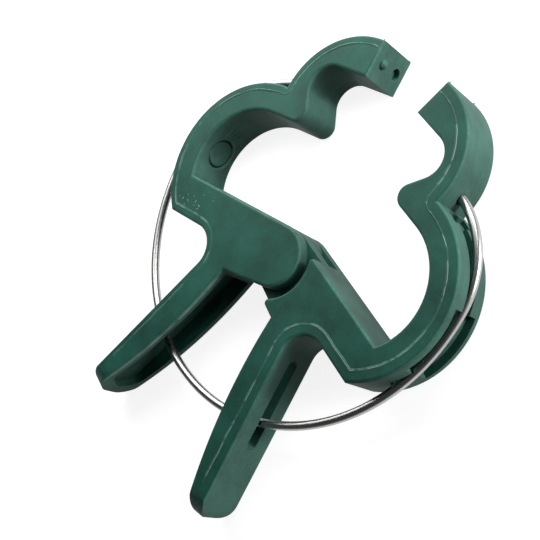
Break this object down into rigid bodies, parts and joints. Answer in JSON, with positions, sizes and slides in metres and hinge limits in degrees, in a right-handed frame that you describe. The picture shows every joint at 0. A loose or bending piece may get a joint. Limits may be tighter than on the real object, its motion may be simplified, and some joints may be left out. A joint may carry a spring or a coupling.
{
  "type": "orchid clip",
  "caption": "Spring clip for tying an orchid stem to a stake: hinged plastic jaws with a large and a small loop, finger levers and a sprung steel wire ring.",
  "frame": {"origin": "on the hinge axis, at the back face on which the clip lies", "axes": "+Z along the hinge axis, from the back face to the front face; +Y from the hinge to the jaw tips, midway between the open jaws; +X towards the right jaw"},
  "size_m": [0.0588, 0.068, 0.008],
  "materials": {
    "green_plastic": "satin moulded plastic, dark green, with fine grain",
    "spring_wire": "bright drawn spring steel wire"
  },
  "bodies": {
    "left_side": {"left_jaw": "green_plastic"},
    "right_side": {"right_jaw": "green_plastic"},
    "spring": {"ring_spring": "spring_wire"}
  },
  "joints": [
    {"name": "jaw_hinge", "type": "hinge", "parent": "left_side", "child": "right_side", "pos_m": [0, 0, 0.004], "axis": [0, 0, -1], "range_deg": [-21.6, 38], "stiffness_Nm_per_rad": 0.06, "springref_deg": -21.6, "deforming": ["ring_spring"]},
    {"name": "ring_follow", "type": "hinge", "parent": "left_side", "child": "spring", "pos_m": [0, 0, 0.004], "axis": [0, 0, -1], "range_deg": [-10.8, 19]}
  ],
  "couplings": [
    {"joint": "ring_follow", "follows": "jaw_hinge", "ratio": 0.5}
  ]
}
